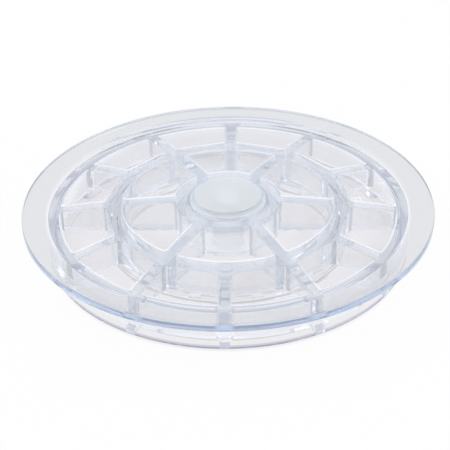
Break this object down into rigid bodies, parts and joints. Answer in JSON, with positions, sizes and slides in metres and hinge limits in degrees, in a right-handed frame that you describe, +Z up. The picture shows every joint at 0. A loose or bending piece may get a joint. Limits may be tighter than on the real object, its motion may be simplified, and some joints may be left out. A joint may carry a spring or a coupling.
{
  "type": "lazy susan turntable",
  "caption": "Round clear plastic turntable with a flanged, crowned and ribbed top that spins on a hidden ring of balls over a footed base plate.",
  "frame": {"origin": "on the table, under the middle of the turntable", "axes": "+Z up along the turning axis; +X along one outer and one inner rib at rest"},
  "size_m": [0.3, 0.3, 0.046],
  "materials": {
    "clear_top": "polished clear moulding with a faint blue cast",
    "clear_base": "polished clear moulding",
    "clear_cage": "clear moulding",
    "clear_ball": "polished clear balls",
    "slippery_washer": "milky low-friction plastic",
    "soft_foot": "clear soft rubber"
  },
  "bodies": {
    "base": {"base_plate": "clear_base", "foot_1": "soft_foot", "foot_2": "soft_foot", "foot_3": "soft_foot", "foot_4": "soft_foot", "foot_5": "soft_foot", "foot_6": "soft_foot", "pivot_washer": "slippery_washer"},
    "ball_ring": {"ball_cage": "clear_cage", "ball_01": "clear_ball", "ball_02": "clear_ball", "ball_03": "clear_ball", "ball_04": "clear_ball", "ball_05": "clear_ball", "ball_06": "clear_ball", "ball_07": "clear_ball", "ball_08": "clear_ball", "ball_09": "clear_ball", "ball_10": "clear_ball", "ball_11": "clear_ball", "ball_12": "clear_ball"},
    "turntable": {"turntable_top": "clear_top"}
  },
  "joints": [
    {"name": "turntable_spin", "type": "hinge", "parent": "base", "child": "turntable", "pos_m": [0, 0, 0.0205], "axis": [0, 0, 1], "continuous": true},
    {"name": "ball_ring_spin", "type": "hinge", "parent": "base", "child": "ball_ring", "pos_m": [0, 0, 0.0103], "axis": [0, 0, 1], "continuous": true}
  ],
  "couplings": [
    {"joint": "ball_ring_spin", "follows": "turntable_spin", "ratio": 0.5}
  ]
}
